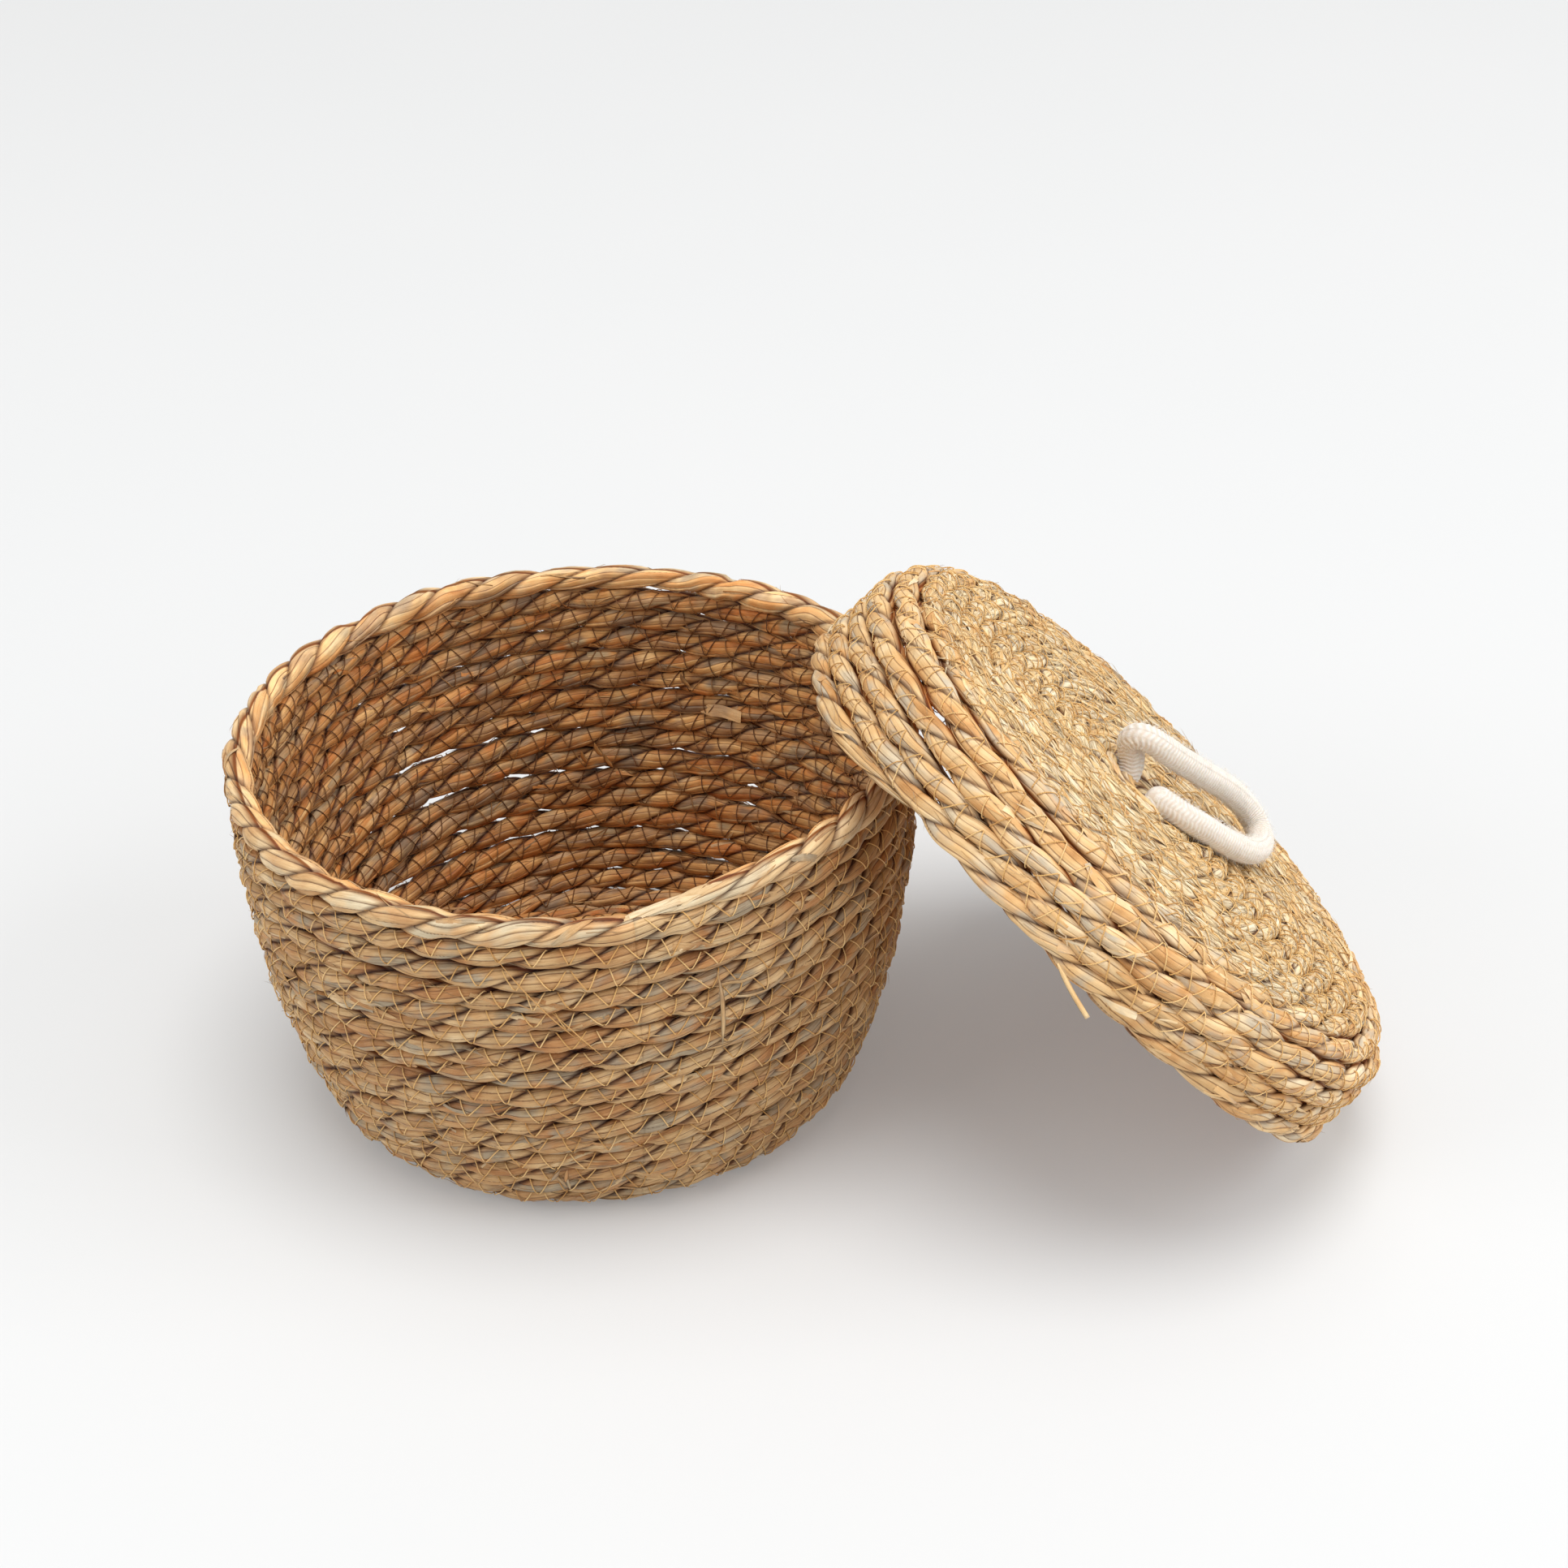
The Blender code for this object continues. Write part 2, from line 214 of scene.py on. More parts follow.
def mesh_object(name, verts, quads, look, caps=()):
    """A mesh object from arrays of points and quads, plus end caps of any number of sides."""
    quads = np.asarray(quads)
    loops = np.concatenate([quads.ravel(), *[np.asarray(c) for c in caps]]).astype(np.int32)
    sizes = np.concatenate([np.full(len(quads), 4), [len(c) for c in caps]]).astype(np.int32)
    starts = np.concatenate([[0], np.cumsum(sizes)[:-1]]).astype(np.int32)
    data = bpy.data.meshes.new(name)
    data.vertices.add(len(verts))
    data.vertices.foreach_set("co", np.asarray(verts, np.float32).ravel())
    data.loops.add(len(loops))
    data.loops.foreach_set("vertex_index", loops)
    data.polygons.add(len(sizes))
    data.polygons.foreach_set("loop_start", starts)
    data.polygons.foreach_set("loop_total", sizes)
    data.update(calc_edges=True)
    data.validate()
    data.polygons.foreach_set("use_smooth", np.arange(len(sizes)) < len(quads))
    data.materials.append(look)
    piece = bpy.data.objects.new(name, data)
    bpy.context.scene.collection.objects.link(piece)
    return piece


def write(piece, name, domain, values):
    """A vector attribute for the materials to read."""
    attribute = piece.data.attributes.new(name, "FLOAT_VECTOR", domain)
    attribute.data.foreach_set("vector", np.asarray(values, np.float32).ravel())


def end_caps(rows, sides):
    """The two end faces of a tube."""
    return [np.arange(sides)[::-1], np.arange(sides) + (rows - 1) * sides]


def grid_quads(rows, sides):
    """The faces of a tube of rows of points, each row a closed ring."""
    i, j = np.meshgrid(np.arange(rows - 1), np.arange(sides), indexing="ij")
    k = (j + 1) % sides
    low, high = i * sides, (i + 1) * sides
    return np.stack([low + j, low + k, high + k, high + j], -1).reshape(-1, 4)


def strands(name, points, ups, wide, high, look, ids, side=0.5, tone=0.0, smooth=True):
    """Many thin four-cornered strands in one mesh. points and ups are (strand, step, 3)."""
    many, steps = points.shape[:2]
    ahead = np.gradient(points, axis=1)
    ahead /= np.linalg.norm(ahead, axis=-1, keepdims=True) + 1e-12
    across = np.cross(ahead, ups)
    across /= np.linalg.norm(across, axis=-1, keepdims=True) + 1e-12
    up = np.cross(across, ahead)
    wide, high = (np.broadcast_to(x, (many, steps))[..., None] for x in (wide, high))
    over, out = across * wide, up * high
    ring = np.stack([points + over, points + out, points - over, points - out], 2)
    # nothing hangs through the floor
    ring[..., 2] += np.maximum(0, FLOOR_GAP - ring[..., 2].min(2, keepdims=True))
    one = grid_quads(steps, 4)
    offset = np.arange(many)[:, None, None] * steps * 4
    ends = np.array([[3, 2, 1, 0], [4 * steps - 4, 4 * steps - 3, 4 * steps - 2, 4 * steps - 1]])
    quads = (np.concatenate([one, ends])[None] + offset).reshape(-1, 4)
    piece = mesh_object(name, ring.reshape(-1, 3), quads[:, ::-1], look)
    if not smooth:
        piece.data.polygons.foreach_set("use_smooth", np.zeros(len(quads), bool))
    length = np.cumsum(np.linalg.norm(np.diff(points, axis=1, prepend=points[:, :1]), axis=-1), 1)
    leaf = np.zeros((many, steps, 4, 3))
    own = np.asarray(ids)[:, None, None]
    leaf[..., 0], leaf[..., 1], leaf[..., 2] = own + (0.15, 0.5, 0.85, 0.5), length[..., None] / MM, own
    write(piece, "leaf", "POINT", leaf.reshape(-1, 3))
    place = np.zeros((many, steps, 4, 3))
    place[..., 0], place[..., 1], place[..., 2] = side, 1.0, np.broadcast_to(tone, (many,))[:, None, None]
    write(piece, "place", "POINT", place.reshape(-1, 3))
    return piece


# ---------- rope

class Rope:
    """One long two-ply rope: where its surface is, and how its leaves lie."""

    def __init__(self, line, first, last, radius, lay, seed, sag, ragged=(0, 0), bold=None, pinch=0.0):
        """lay is the length in which a ply goes once round; sag is how far the turns wander sideways;
        ragged is the stretch with torn leaves, bold is where the thicker last turn begins, and pinch is how
        much thinner the rope is at its short thin places."""
        self.line, self.radius, self.lay = line, radius, lay
        self.seed, self.sag, self.pinch = seed, sag, pinch
        s = np.linspace(first, last, 40000)
        points = line(s)[0]
        u = lengths(points)
        self.table = s, u
        self.length = u[-1]
        self.ragged = self.u(ragged[0]), self.u(ragged[1])
        self.bold = self.u(bold) if bold else self.length + 1

    def u(self, s):
        """Length along the rope at a place s on its spiral."""
        return np.interp(s, *self.table)

    def s(self, u):
        """The other way round."""
        return np.interp(u, self.table[1], self.table[0])

    def twist(self, u):
        """Where the middle of the first ply is in the section, as an angle."""
        return -TAU * u / self.lay + wander(u, self.seed, TWIST_WANDER)

    def thin(self, u):
        """The rope thins out towards its end, and a little at its start; a bold last turn is thicker."""
        end = 1 - (1 - TAPER_TO) * np.clip(1 - (self.length - u) / TAPER_LENGTH, 0, 1)
        point = np.sqrt(np.clip((self.length - u) / POINT_LENGTH, 0.003, 1))
        bold = 1 + BOLD * np.clip((u - self.bold) / BOLD_LENGTH, 0, 1)
        return end * point * bold * (1 - START_THIN * np.clip(1 - u / START_LENGTH, 0, 1))

    def rough(self, u):
        """1 on the ragged stretch of the rope, where its leaves are torn fine, and 0 away from it."""
        first, last = self.ragged
        return np.clip((last - u) / RAGGED_FADE, 0, 1) * np.clip((u - first) / MM, 0, 1)

    def middle(self, u):
        """Centreline point, way out and way across; the coils wander a little from their even spiral."""
        points, out, across = self.line(self.s(u), (1 - self.thin(u)) * self.radius)
        over = wander(u, self.seed, OVER_WANDER)
        aside = self.sag * wander(u, self.seed, ASIDE_WANDER)
        return points + out * over[..., None] + across * aside[..., None], out, across

    def skin(self, u, phi):
        """Distance from the centreline to the surface at length u in the direction phi, and the fold there.
        phi is measured from the way out towards the way across."""
        t = (phi - self.twist(u) + math.pi / 2) % TAU - math.pi / 2
        ply = (t > math.pi / 2).astype(int)
        return self.reach(u, t - math.pi * ply, ply)

    def reach(self, u, t, ply):
        """The same at the angle t from the middle of a ply, from -90 to 90 degrees."""
        twist, rough = self.twist(u), self.rough(u)
        top = np.clip(np.cos(t), 0, 1)
        phi = t + math.pi * ply + twist
        press = (np.abs(np.cos(phi))**FLATNESS + np.abs(np.sin(phi))**FLATNESS) ** (-1 / FLATNESS)
        crease = CREASE * (1 - 0.5 * rough)
        lens = 1 - crease + crease * top**0.6
        pinch = self.pinch * np.clip((drift(u, self.seed + 20, 9 * MM) - 0.45) / 0.4, 0, 1)
        swell = np.where(ply == 0, drift(u, self.seed + 5, 21 * MM), drift(u, self.seed + 6, 24 * MM))
        fat = 1 - pinch + PLY_SWELL * swell
        wobble = np.where(ply == 0, drift(u, self.seed + 7, 13 * MM), drift(u, self.seed + 8, 15 * MM))
        # each ply counts its folds from a number of its own
        fold = (t + FOLD_SLANT * twist) / FOLD + FOLD_WOBBLE * wobble + 500 * ply
        x = fold - np.floor(fold)
        high = pick(np.floor(fold) + 3000, self.seed + 9)
        ridge = (RIDGE_LOW + RIDGE_MORE * high) * np.minimum(1, 6 * x) * (1 - x) ** 0.5 * top**0.3
        torn = TORN * rough * drift(u + 4 * MM * t, self.seed + 12, 2.6 * MM) * drift(
            fold * MM, self.seed + 13, 0.55 * MM)
        return self.radius * lens * fat * press * self.thin(u) + (ridge + torn) * self.thin(u), fold

    def surface(self, u, phi, lift=0.0):
        """Points on the rope's surface, and the way out there."""
        points, out, across = self.middle(u)
        way = out * np.cos(phi)[..., None] + across * np.sin(phi)[..., None]
        return points + way * (self.skin(u, phi)[0] + lift)[..., None], way

    def piece(self, name, first, last, look, tone=((0, 0.0), (1, 0.0))):
        """The rope from one place on its spiral to another, as one closed mesh; tone is how pale its
        leaves are, as stops of (share of the piece, tone)."""
        rows = max(8, math.ceil((self.u(last) - self.u(first)) / STEP)) + 1
        u = np.linspace(self.u(first), self.u(last), rows)
        theta = np.linspace(-math.pi / 2, 1.5 * math.pi, SIDES + 1)
        ply = np.repeat([0, 1], SIDES // 2)
        t_from, t_to = theta[:-1] - math.pi * ply, theta[1:] - math.pi * ply
        reach, fold_from = self.reach(u[:, None], t_from[None], ply[None])
        fold_to = self.reach(u[:, None], t_to[None], ply[None])[1]
        phi = theta[None, :-1] + self.twist(u)[:, None]
        points, out, across = self.middle(u)
        way = out[:, None] * np.cos(phi)[..., None] + across[:, None] * np.sin(phi)[..., None]
        verts = points[:, None] + way * reach[..., None]
        verts[..., 2] = np.maximum(verts[..., 2], FLOOR_GAP)
        piece = mesh_object(name, verts.reshape(-1, 3), grid_quads(rows, SIDES), look, end_caps(rows, SIDES))
        kind = (ply * 37 + self.seed).astype(float)
        leaf = np.zeros((rows - 1, SIDES, 4, 3))
        for corner, (row, fold) in enumerate(((0, fold_from), (0, fold_to), (1, fold_to), (1, fold_from))):
            leaf[:, :, corner, 0] = fold[row:rows - 1 + row]
            leaf[:, :, corner, 1] = (u[row:rows - 1 + row, None]) / MM
            leaf[:, :, corner, 2] = kind
        write(piece, "leaf", "CORNER", np.concatenate([leaf.reshape(-1, 3), np.zeros((2 * SIDES, 3))]))
        place = np.zeros((rows, SIDES, 3))
        place[..., 0] = np.cos(phi)
        # how near each point is to the middle of its ply; the leaf material paints shade in the groove
        # between the plies from this
        place[..., 1] = np.abs(np.cos(t_from))[None]
        place[..., 2] = np.interp(np.linspace(0, 1, rows), *zip(*tone))[:, None]
        write(piece, "place", "POINT", place.reshape(-1, 3))
        return piece


def finish_piece(piece, body, slot, *nodes):
    """Puts a piece on its body, and hides the CAD nodes that it stands for; slot is not used."""
    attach(piece, body)
    if nodes:
        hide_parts(*nodes)
    return piece


# ---------- stitches and loose leaf

STITCH = 10.9 * MM  # from one point of the zigzag to the next but one
THREAD_R = 0.22 * MM
STITCH_STRAYS, DIP_STRAYS = 0.13, 0.22  # how uneven the points are: along, in stitches, and round, in radians


def taut(rope, u, phi):
    """Points where a thread pulled over the rope's folds lies, and the way out there."""
    middle, out, across = rope.middle(u)
    way = out * np.cos(phi)[..., None] + across * np.sin(phi)[..., None]
    near = [rope.skin(u + du * MM, phi + dphi)[0] for du in (-1.3, 0, 1.3) for dphi in (-0.22, 0, 0.22)]
    far = np.max(near, axis=0)
    far[:, 1:-1] = np.maximum(far[:, 1:-1], 0.5 * (far[:, :-2] + far[:, 2:]))
    return middle + way * (far + THREAD_R * 0.9)[..., None], way


def stitches(name, rope, first, last, low, high, look, seed, side, size=1.0):
    """Zigzag thread on one face of the rope: down from the crack between two turns, and back up."""
    rng = np.random.default_rng(seed)
    start, end = rope.u(first), rope.u(last)
    count = int((end - start) / STITCH)
    at = start + STITCH * np.arange(count)
    spot = rng.uniform(-STITCH_STRAYS, STITCH_STRAYS, (3, count)) * STITCH
    foot = at + 0.5 * STITCH + spot[0]
    dip = low + rng.uniform(-DIP_STRAYS, DIP_STRAYS, count)
    share = np.linspace(0, 1, 11)
    lines, ways = [], []
    for head in (at + 0.10 * STITCH + spot[1], at + 0.90 * STITCH + spot[2]):
        u = head[:, None] + (foot - head)[:, None] * share
        phi = high + (dip[:, None] - high) * share
        points, way = taut(rope, u, phi)
        for k, sunk in ((0, 1.3), (-1, 0.7)):
            points[:, k] -= way[:, k] * sunk * MM
        lines.append(points)
        ways.append(way)
    points, ways = np.concatenate(lines), np.concatenate(ways)
    points[..., 2] = np.maximum(points[..., 2], 0.2 * MM)
    thick = THREAD_R * size
    return strands(name, points, ways, thick, thick, look, np.arange(len(points)), side)


def shreds(name, rope, first, last, count, look, seed, faces, long=(5, 18), wide=(0.25, 0.8), lift=1.4):
    """Loose bits of leaf and fibre that lie on the rope and stand up a little at one end."""
    rng = np.random.default_rng(seed)
    steps = 9
    u0 = rng.uniform(rope.u(first), rope.u(last), count)
    phi0 = faces[0] + (faces[1] - faces[0]) * rng.uniform(0, 1, count)
    length = rng.uniform(*long, count) * MM
    slant = rng.normal(0.10, 0.30, count)
    way_on = rng.choice([-1, 1], count)
    share = np.linspace(0, 1, steps)
    bow = rng.normal(0, 0.12, count)
    u = u0[:, None] + (way_on * length)[:, None] * share * np.cos(slant)[:, None]
    u = np.clip(u, 0, rope.length)
    phi = phi0[:, None] - way_on[:, None] * (length / rope.radius * np.sin(slant))[:, None] * share
    phi = phi + bow[:, None] * np.sin(math.pi * share)
    rise = (rng.uniform(0.1, 1, count) ** 2 * lift * MM)[:, None] * share**2.2
    points, way = rope.surface(u, phi, 0.0)
    points = points + way * (rise + 0.06 * MM)[..., None]
    points[..., 2] = np.maximum(points[..., 2], 0.25 * MM)
    half = (rng.uniform(*wide, count) * MM)[:, None] * np.sqrt(np.clip(1.02 - share**3, 0.02, 1)) * 0.5
    return strands(name, points, way, half, np.minimum(half, 0.09 * MM), look,
                   rng.integers(0, 4000, count), side=0.6 if faces[0] < 2 else -1.0,
                   tone=rng.uniform(-0.6, 1.0, count), smooth=wide[1] < 1)


# ---------- materials

class Nodes:
    """A short way to build a material's nodes."""

    def __init__(self, name):
        self.material = bpy.data.materials.new(name)
        self.material.use_nodes = True
        self.tree = self.material.node_tree
        self.shader = self.tree.nodes["Principled BSDF"]

    def done(self, **values):
        """Sets the shader's own sockets, and gives the material."""
        for socket, value in values.items():
            self.put(self.shader.inputs[socket.replace("_", " ")], value)
        return self.material

    def put(self, socket, value):
        """Links a socket to another, or sets its value."""
        if isinstance(value, bpy.types.NodeSocket):
            self.tree.links.new(value, socket)
        else:
            socket.default_value = value

    def node(self, kind, out=0, **values):
        """A node's output; set_x sets its property x, and i0, i1 or a name sets an input."""
        made = self.tree.nodes.new("ShaderNode" + kind)
        for key, value in values.items():
            if key.startswith("set_"):
                setattr(made, key[4:], value)
            else:
                self.put(made.inputs[int(key[1:]) if key[0] == "i" and key[1:].isdigit() else key], value)
        return made.outputs[out]

    def math(self, what, *values):
        return self.node("Math", set_operation=what, **{f"i{k}": v for k, v in enumerate(values)})

    def plus(self, *values):
        return self.math("ADD", *values)

    def times(self, *values):
        return self.math("MULTIPLY", *values)

    def vector(self, *values):
        return self.node("CombineXYZ", **{f"i{k}": v for k, v in enumerate(values)})

    def parts(self, vector):
        made = self.tree.nodes.new("ShaderNodeSeparateXYZ")
        self.put(made.inputs[0], vector)
        return made.outputs

    def attribute(self, name):
        made = self.tree.nodes.new("ShaderNodeAttribute")
        made.attribute_name = name
        return made.outputs["Vector"]

    def noise(self, vector, scale, detail=2.0, rough=0.5):
        return self.node("TexNoise", Vector=vector, Scale=scale, Detail=detail, Roughness=rough)

    def random(self, vector):
        return self.node("TexWhiteNoise", set_noise_dimensions="3D", Vector=vector)

    def span(self, value, low, high, to_low=0.0, to_high=1.0):
        return self.node("MapRange", i0=value, i1=low, i2=high, i3=to_low, i4=to_high)

    def ramp(self, value, *stops):
        made = self.tree.nodes.new("ShaderNodeValToRGB")
        self.put(made.inputs[0], value)
        points = made.color_ramp.elements
        for _ in stops[2:]:
            points.new(0.5)
        for point, (at, colour) in zip(points, stops):
            point.position, point.color = at, screen(colour)
        return made.outputs[0]

    def mix(self, share, a, b, how="MIX"):
        made = self.tree.nodes.new("ShaderNodeMix")
        made.data_type, made.blend_type = "RGBA", how
        for socket, value in ((made.inputs[0], share), (made.inputs[6], a), (made.inputs[7], b)):
            self.put(socket, value)
        return made.outputs[2]

    def dye(self, a, b):
        return self.mix(1.0, a, b, "MULTIPLY")

    def bump(self, height, distance, strength=1.0):
        made = self.tree.nodes.new("ShaderNodeBump")
        made.inputs["Strength"].default_value = strength
        made.inputs["Distance"].default_value = distance
        self.put(made.inputs["Height"], height)
        return made.outputs[0]


WHITE = (255, 255, 255)


def screen(colour):
    """A colour given as screen values from 0 to 255, as the light it reflects."""
    light = (c / 255 / 12.92 if c / 255 <= 0.04045 else ((c / 255 + 0.055) / 1.055) ** 2.4 for c in colour)
    return (*light, 1)


def leaf_look(name, tints, inside, streak=1.0, groove_shade=0.95):
    """Dried leaf: folds along the rope, each with its own tint, fine fibres, and painted shade in the cracks
    and grooves.
    tints are (brown, orange, tan, straw, pale, grey); inside tints the inner face, partly as painted light;
    streak is how strongly the fibres show, and the last how dark the painted shade in the grooves is."""
    brown, orange, tan, straw, pale, grey = tints
    n = Nodes(name)
    fold, length, kind = n.parts(n.attribute("leaf"))
    side, crown, tone = n.parts(n.attribute("place"))
    number = n.math("FLOOR", fold)
    x = n.math("SUBTRACT", fold, number)
    own = n.random(n.vector(number, kind, 0.0))
    own2 = n.random(n.vector(number, kind, 7.0))
    # the leaf changes slowly along its length, and a new one begins every few turns of the ply
    slow = n.noise(n.vector(n.times(length, 0.062), n.times(kind, 3.7), n.times(fold, 0.23)), 1.0, 2.0, 0.6)
    patch = n.noise(n.vector(n.times(length, 0.075), n.times(kind, 5.1), n.times(fold, 0.35)), 1.0, 2.0, 0.55)
    fibre = n.noise(n.vector(n.times(length, 0.10), n.times(fold, 4.0), kind), 1.0, 4.0, 0.65)
    fine = n.noise(n.vector(n.times(length, 0.30), n.times(fold, 17.0), kind), 1.0, 2.0, 0.6)
    which = n.plus(n.times(n.span(slow, 0.30, 0.70), 0.60), n.times(own, 0.40))
    which = n.plus(which, n.times(tone, 0.2))
    colour = n.ramp(which, (0.0, brown), (0.24, orange), (0.46, tan), (0.70, straw), (0.98, pale))
    dull = n.span(n.plus(n.times(own2, 0.30), patch), 0.68, 0.86)
    colour = n.mix(n.times(dull, 0.85), colour, screen(grey))
    colour = n.dye(colour, n.ramp(own2, (0.0, (226, 218, 208)), (0.45, WHITE)))
    # the inner face is browner and more varied; its warmer tint and the brightening below are partly painted
    # light, for the warm light bounced inside the basket
    browner = tuple(c * share for c, share in zip(inside, (0.98, 0.88, 0.78)))
    inner_tint_and_light = n.dye(colour, n.ramp(n.plus(n.times(patch, 0.7), n.times(own, 0.3)),
                                  (0.30, browner), (0.48, inside), (0.62, (208, 190, 184))))
    # painted light: the inner face is brightened
    inner_tint_and_light = n.dye(inner_tint_and_light, (1.24, 1.27, 1.24, 1))
    colour = n.mix(n.span(side, 0.25, -0.35), colour, inner_tint_and_light)
    # fibres and stains
    fibres = n.ramp(fibre, (0.30, (196, 172, 142)), (0.50, (246, 240, 230)), (0.70, WHITE))
    colour = n.mix(streak, colour, n.dye(colour, fibres))
    colour = n.mix(n.times(n.span(fine, 0.58, 0.74), 0.42 * streak), colour, screen((122, 76, 36)))
    colour = n.mix(n.times(n.span(fine, 0.42, 0.28), 0.30 * streak), colour, screen(pale))
    # painted shade: in the cracks beside each fold, in the groove between the plies, and between two rows
    crack = n.math("MAXIMUM", n.span(x, 0.15, 0.0), n.span(x, 0.93, 1.0))
    crack = n.times(crack, n.span(own, 0.1, 0.9, 0.5, 1.0))
    colour = n.mix(crack, colour, n.dye(colour, screen((114, 68, 26))))
    colour = n.mix(n.span(crown, 0.40, 0.02, 0.0, groove_shade), colour, n.dye(colour, screen((98, 52, 16))))
    between = n.times(n.span(side, 0.50, 0.12), n.span(side, -0.1, 0.0))
    colour = n.mix(between, colour, n.dye(colour, screen((148, 100, 52))))
    ridge = n.times(n.span(x, 0.0, 0.2), n.math("SUBTRACT", 1.0, n.math("POWER", x, 2.0)))
    relief = n.plus(n.times(fibre, 0.6 * streak), n.times(fine, 0.25 * streak))
    return n.done(Base_Color=colour, Roughness=n.span(fibre, 0.3, 0.8, 0.46, 0.70), Specular_IOR_Level=0.32,
                  Normal=n.bump(n.plus(n.times(ridge, 0.5), relief), 0.5 * MM, 0.95))


def thread_look(name, dark, middle, bright):
    """Waxed tan sewing thread, with its twist; the darker stripes along the twist are painted shade in its
    grooves.
    """
    n = Nodes(name)
    across, length, kind = n.parts(n.attribute("leaf"))
    own = n.random(n.vector(kind, 3.0, 1.0))
    colour = n.ramp(own, (0.0, dark), (0.5, middle), (1.0, bright))
    twist = n.math("SINE", n.plus(n.times(length, 9.0), n.times(across, 6.3)))
    # painted shade: the twist's grooves are darker
    colour = n.mix(n.span(twist, 0.2, -1.0, 0.0, 0.25), colour, screen(dark))
    return n.done(Base_Color=colour, Roughness=0.5, Normal=n.bump(twist, 0.06 * MM))


def cotton_look():
    """Soft white cotton with fine fibres; its grooves are painted darker and warmer, as shade."""
    n = Nodes("cotton_cord")
    around, length, groove = n.parts(n.attribute("braid"))
    where = n.vector(n.times(around, 9.0), n.times(length, 1.3), 0.0)
    fibre = n.noise(where, 1.6, 4.0, 0.6)
    # painted shade: darker, warmer colour in the grooves between the ribs
    colour = n.mix(n.span(groove, 0.9, 0.0), screen((243, 239, 233)), screen((226, 210, 192)))
    colour = n.mix(n.span(fibre, 0.35, 0.7, 0.25, 0.0), colour, screen((232, 220, 206)))
    return n.done(Base_Color=colour, Roughness=0.92, Sheen_Weight=0.3, Sheen_Roughness=0.5,
                  Subsurface_Weight=0.25, Subsurface_Radius=(2.2 * MM, 1.6 * MM, 1.1 * MM),
                  Normal=n.bump(n.plus(fibre, n.times(groove, 0.6)), 0.25 * MM))


def floor_look():
    """A pale matt sweep with a painted glow: a little emission that lifts its shadows and brightens it
    evenly.
    """
    n = Nodes("pale_floor")
    shade = n.noise(n.node("TexCoord", out=3), 3.0, 2.0)
    # painted light: the floor's emission lifts its shadows
    return n.done(Base_Color=n.ramp(shade, (0.0, (195, 196, 196)), (1.0, (198, 198, 198))),
                  Emission_Color=(1, 1, 1, 1), Emission_Strength=0.17, Roughness=0.75, Specular_IOR_Level=0.2)


# ---------- handle

def smooth(points, count):
    """A smooth line through given points (Catmull-Rom), with evenly spaced points on it."""
    p = [np.array(v) for v in points]
    p = [2 * p[0] - p[1], *p, 2 * p[-1] - p[-2]]
    fine = []
    for a, b, c, d in zip(p, p[1:], p[2:], p[3:]):
        for t in np.linspace(0, 1, 12, endpoint=False):
            fine.append(0.5 * (2 * b + (c - a) * t + (2 * a - 5 * b + 4 * c - d) * t * t
                               + (3 * b - a - 3 * c + d) * t**3))
    fine = np.array([*fine, p[-2]])
    at = lengths(fine)
    even = np.linspace(0, at[-1], count)
    return np.stack([np.interp(even, at, fine[:, i]) for i in range(3)], -1)


def handle_route():
    """The loop's centreline in the lid's frame: over foot A's bend, down the lid, round, back to foot B."""
    stops = [(-22.4, 6.3, 14.2), (-19.2, 3.8, 17.6), (-12.0, 3.2, 18.0), (0.5, 6.5, 18.2), (14, 12, 18.0),
             (27.5, 18.5, 17.6), (40, 23.4, 16.2), (49.5, 23.5, 14.0), (52.6, 16.5, 12.2), (49.2, 7.5, 10.9),
             (41, -0.8, 9.6), (30.5, -5.6, 8.95), (14, -11.0, 8.8), (2.5, -12.0, 8.7)]
    return [BEND_A, *(Vector(p) * MM for p in stops), BEND_B]


def settle(points, rounds):
    """Eases the small kinks out of an evenly spaced line, and keeps its ends."""
    points = points.copy()
    for _ in range(rounds):
        points[1:-1] += 0.5 * (0.5 * (points[:-2] + points[2:]) - points[1:-1])
    return points


def frames_along(points):
    """Two directions across a line that don't twist along it."""
    ahead = np.gradient(points, axis=0)
    ahead /= np.linalg.norm(ahead, axis=1, keepdims=True)
    side = np.cross(ahead[0], (0.3, 0.5, 0.8))
    sides = []
    for t in ahead:
        side = side - t * (side @ t)
        side = side / np.linalg.norm(side)
        sides.append(side)
    sides = np.array(sides)
    return ahead, sides, np.cross(ahead, sides)


WALES, RIB = 10, 1.45 * MM  # lengthwise columns of the cord's cover, and the spacing of the ribs in them
LEG_SINKS = 2.8 * MM  # how far the loop's lower leg sinks between the lid's turns at its foot
KNOT_CORD_R, KNOT_SIZE, KNOT_DROP = 2.9 * MM, 1.42 * MM, 10.6 * MM
HAIR_R, HAIR_LENGTH = 0.035 * MM, 1.5 * MM


